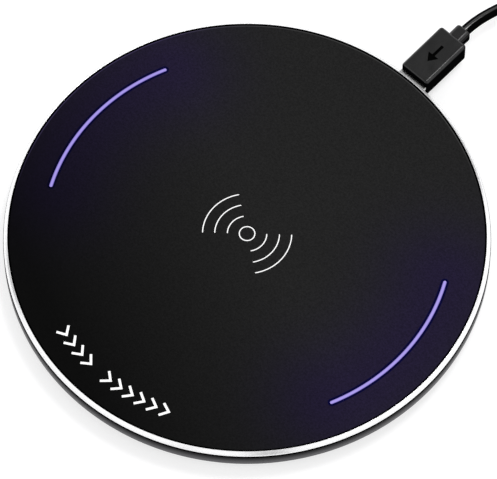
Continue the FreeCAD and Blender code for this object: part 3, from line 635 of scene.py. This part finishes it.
def rim_wall_material():
    """Dark anodised wall and a bright turned chamfer, told apart by height and radius; the wall's
    lighter foot is a painted reflection, its groove and inner faces painted shade.
    """
    graph = Finish("rim_metal")
    x, y, height = graph.split_place()
    radius = graph.radius(x, y)
    bright = graph.math("MULTIPLY", graph.ease(height, 6.70 * MM, 6.72 * MM),
                        graph.ease(radius, 51.07 * MM, 51.09 * MM))
    angle = graph.math("ARCTAN2", y, x)
    turned = graph.node("ShaderNodeCombineXYZ")
    graph.join(graph.math("MULTIPLY", angle, 60.0), turned.inputs[0])
    graph.join(graph.math("MULTIPLY", height, 30.0), turned.inputs[1])
    streak = graph.noise(3.0, 4.0, turned.outputs[0])
    grain = graph.noise(7000, 3.0)
    # painted reflection: the wall's colour lightens towards its foot, standing in for the floor's
    # reflection
    rise = graph.ease(height, 3.0 * MM, 6.5 * MM)
    wall = graph.blend(rise, rgb(0.122, 0.119, 0.127), rgb(0.008, 0.008, 0.009))
    wall = graph.scaled(wall, graph.spread(grain, 0.72, 1.0))
    # painted shade: the band from the groove up to the chamfer and the ring's inner faces by the seam
    # are turned black
    inside = graph.math("MULTIPLY", graph.ease(height, 4.9 * MM, 5.1 * MM),
                        graph.math("SUBTRACT", 1.0, graph.ease(radius, 51.07 * MM, 51.09 * MM)))
    groove = graph.math("MAXIMUM", graph.ease(height, 6.29 * MM, 6.31 * MM), inside)
    groove = graph.math("MULTIPLY", groove, graph.math("SUBTRACT", 1.0, bright))
    dark = graph.blend(groove, wall, rgb(0.0, 0.0, 0.0))
    chamfer = graph.blend(streak, rgb(0.84, 0.84, 0.85), rgb(0.96, 0.96, 0.97))
    rough = graph.math("ADD", graph.math("MULTIPLY", bright, -0.20), 0.38)
    graph.set(Base_Color=graph.blend(bright, dark, chamfer),
              Metallic=graph.math("MULTIPLY_ADD", bright, -0.45, 1.0),
              Roughness=graph.math("ADD", rough, graph.math("MULTIPLY", streak, 0.08)))
    graph.bump(grain, 0.15, 0.01 * MM)
    return graph.material


# ---------------------------------------------------------------- ties

TIE_THICK = 0.5 * MM
TIE_SLACK = 0.30 * MM
TIE_HALF_WIDTH = 2.0 * MM
TIE_CORNER = 1.5 * MM
COIL_HALF_WIDTH = 4.47 * MM
TIE_ANGLES = (math.radians(75), math.radians(255))


def make_ties():
    """Two hook-and-loop straps closed round the coil's section."""
    low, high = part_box("cord_coil")
    centre = (low + high) / 2
    tie_low, tie_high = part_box("cord_ties")
    half_across = COIL_HALF_WIDTH + TIE_SLACK + TIE_THICK
    half_high = (tie_high.z - tie_low.z) / 2
    middle = (tie_high.z + tie_low.z) / 2
    verts = []
    faces = []
    for angle in TIE_ANGLES:
        outward = Vector((math.cos(angle), math.sin(angle), 0))
        along = Vector((-outward.y, outward.x, 0))
        base = len(verts)
        loop = []
        for quarter in range(4):
            cx = (half_across - TIE_CORNER) * (1 if quarter in (0, 3) else -1)
            cz = (half_high - TIE_CORNER) * (1 if quarter in (0, 1) else -1)
            for step in range(9):
                turn = math.pi / 2 * (quarter + step / 8)
                loop.append((cx, cz, math.cos(turn), math.sin(turn)))
        for cx, cz, out_x, out_z in loop:
            for radius, side in ((TIE_CORNER, -TIE_HALF_WIDTH), (TIE_CORNER, TIE_HALF_WIDTH),
                                 (TIE_CORNER - TIE_THICK, TIE_HALF_WIDTH),
                                 (TIE_CORNER - TIE_THICK, -TIE_HALF_WIDTH)):
                where = centre + outward * (COIL_RADIUS + cx + radius * out_x) + along * side
                where.z = middle + cz + radius * out_z
                verts.append(tuple(where))
        count = len(loop)
        for i in range(count):
            j = (i + 1) % count
            for k in range(4):
                m = (k + 1) % 4
                faces.append((base + i * 4 + k, base + i * 4 + m, base + j * 4 + m, base + j * 4 + k))
    ties = new_mesh("coil_ties", verts, faces)
    tidy_normals(ties)
    bevel = ties.modifiers.new("soft_edges", "BEVEL")
    bevel.width = 0.12 * MM
    bevel.segments = 2
    bevel.limit_method = "ANGLE"
    material = grained("hook_and_loop", rgb(0.006, 0.006, 0.006), rgb(0.022, 0.022, 0.022), 0.85,
                       4000, 0.12 * MM, specular=0.2)
    finish_piece(ties, "lead", material)
    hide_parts("cord_ties")
    return ties


# ---------------------------------------------------------------- finishes on the CAD nodes

def paint(material, *names):
    for name in names:
        data = NODES[name].data
        data.materials.clear()
        data.materials.append(material)


def paint_nodes():
    paint(panel_material(), "top_panel")
    paint(light_material(), "right_light_guide", "left_light_guide")
    paint(grained("shell_plastic", rgb(0.010, 0.010, 0.011), rgb(0.016, 0.016, 0.017), 0.55, 3500,
                  0.05 * MM, specular=0.35), "bottom_shell")
    paint(grained("silicone", rgb(0.008, 0.008, 0.008), rgb(0.014, 0.014, 0.014), 0.72, 2500,
                  0.03 * MM, specular=0.3), "foot_ring")
    paint(grained("tape", rgb(0.60, 0.58, 0.52), rgb(0.70, 0.68, 0.62), 0.5, 900, 0.02 * MM),
          "panel_adhesive", "ferrite_tape", "coil_tape")
    paint(grained("ferrite", rgb(0.03, 0.03, 0.032), rgb(0.06, 0.06, 0.064), 0.5, 1800, 0.04 * MM),
          "ferrite_sheet", "power_inductor")
    paint(grained("zinc", rgb(0.45, 0.45, 0.46), rgb(0.60, 0.60, 0.62), 0.3, 1200, 0.01 * MM,
                  metal=1.0), "case_screws", "board_screws")
    paint(grained("copper_strands", rgb(0.55, 0.20, 0.08), rgb(0.80, 0.36, 0.16), 0.35, 2600,
                  0.08 * MM, metal=1.0), "charging_coil", "coil_leads")
    paint(grained("sensor", rgb(0.40, 0.12, 0.04), rgb(0.55, 0.20, 0.08), 0.15, 800, 0.01 * MM),
          "thermistor")
    paint(grained("solder_mask", rgb(0.005, 0.06, 0.025), rgb(0.008, 0.09, 0.035), 0.3, 1500,
                  0.02 * MM), "circuit_board")
    paint(grained("package", rgb(0.012, 0.012, 0.013), rgb(0.022, 0.022, 0.024), 0.5, 3000,
                  0.02 * MM), "controller_chip", "power_transistors", "small_passives")
    paint(grained("capacitor", rgb(0.32, 0.20, 0.10), rgb(0.42, 0.28, 0.15), 0.4, 1800, 0.02 * MM),
          "resonance_capacitors", "input_capacitors")
    paint(grained("tinned_can", rgb(0.55, 0.55, 0.54), rgb(0.68, 0.68, 0.67), 0.25, 1500,
                  0.01 * MM, metal=1.0), "clock_crystal", "port_shell")
    paint(grained("lamp_resin", rgb(0.70, 0.62, 0.20), rgb(0.85, 0.78, 0.30), 0.3, 900, 0.01 * MM),
          "right_lamps", "left_lamps")
    paint(grained("black_nylon", rgb(0.010, 0.010, 0.010), rgb(0.018, 0.018, 0.018), 0.45, 2500,
                  0.02 * MM), "port_tongue", "small_plug_insulator")
    paint(grained("white_nylon", rgb(0.72, 0.72, 0.70), rgb(0.82, 0.82, 0.80), 0.4, 2000,
                  0.02 * MM), "large_plug_tongue")
    paint(grained("gold_flash", rgb(0.80, 0.52, 0.18), rgb(0.92, 0.64, 0.26), 0.25, 1500,
                  0.01 * MM, metal=1.0), "port_contacts", "small_plug_contacts",
          "large_plug_contacts")
    paint(grained("nickel", rgb(0.40, 0.40, 0.395), rgb(0.52, 0.52, 0.51), 0.2, 1400, 0.01 * MM,
                  metal=1.0), "small_plug_shell", "large_plug_shell")
    paint(moulded_black("plug_vinyl", 0.50, 0.26, 4200, 0.03 * MM, crown=0.52), "small_plug_grip",
          "small_plug_neck", "large_plug_grip", "large_plug_relief")


# ---------------------------------------------------------------- studio

FLOOR_HALF = 6.0
# just under the foot, so that the two surfaces don't lie in one plane
FLOOR_LEVEL = -0.03 * MM


def make_floor():
    size, level = FLOOR_HALF, FLOOR_LEVEL
    floor = new_mesh("studio_floor", [(-size, -size, level), (size, -size, level),
                                      (size, size, level), (-size, size, level)],
                     [(0, 1, 2, 3)], smooth=False)
    floor.data.materials.append(floor_material())


# Dark gaps in the dome: the bearing of the middle and the half width in degrees, and the depth
DOME_GAPS = ((8, 9, 1.0), (-21.5, 2.2, 0.8), (-105, 12, 0.9), (98, 5, 0.4))


def make_world():
    """A pale dome, dimmer overhead, with dark gaps that the rim's chamfer mirrors."""
    world = bpy.data.worlds.new("studio_dome")
    bpy.context.scene.world = world
    graph = Graph(world)
    heading = graph.node("ShaderNodeTexCoord").outputs["Generated"]
    height = graph.along(heading, (0, 0, 1))
    low = graph.ease(height, 0.0, 0.05)
    high = graph.ease(height, 0.62, 0.85)
    level = graph.math("MULTIPLY", low, graph.math("MULTIPLY_ADD", high, -0.45, 1.2))
    bearing = graph.math("ARCTAN2", graph.along(heading, tuple(RIGHT)),
                         graph.along(heading, tuple(-AWAY)))
    for middle, half, depth in DOME_GAPS:
        gap = graph.math("ABSOLUTE", graph.math("SUBTRACT", bearing, math.radians(middle)))
        shut = graph.ease(gap, math.radians(half * 0.35), math.radians(half))
        level = graph.math("MULTIPLY", level, graph.math("MULTIPLY_ADD", shut, depth, 1 - depth))
    background = graph.tree.nodes["Background"]
    background.inputs[0].default_value = rgb(1, 1, 1)
    graph.join(level, background.inputs[1])


def make_lamp(name, place, width, power):
    data = bpy.data.lights.new(name, "AREA")
    data.size = width
    data.energy = power
    lamp = bpy.data.objects.new(name, data)
    bpy.context.scene.collection.objects.link(lamp)
    lamp.location = place
    lamp.rotation_mode = "QUATERNION"
    lamp.rotation_quaternion = (-Vector(place)).to_track_quat("-Z", "Y")


KEY_PLACE = tuple(RIGHT * 0.31 + AWAY * 0.30 + Vector((0, 0, 1.23)))
KEY_SIZE = 0.28
KEY_POWER = 5.0


def make_studio():
    bpy.context.scene.view_settings.view_transform = "Standard"
    make_floor()
    make_world()
    make_lamp("key", KEY_PLACE, KEY_SIZE, KEY_POWER)


make_camera()
make_cord()
make_trim_ring()
make_icon()
make_marks()
paint_nodes()
make_studio()
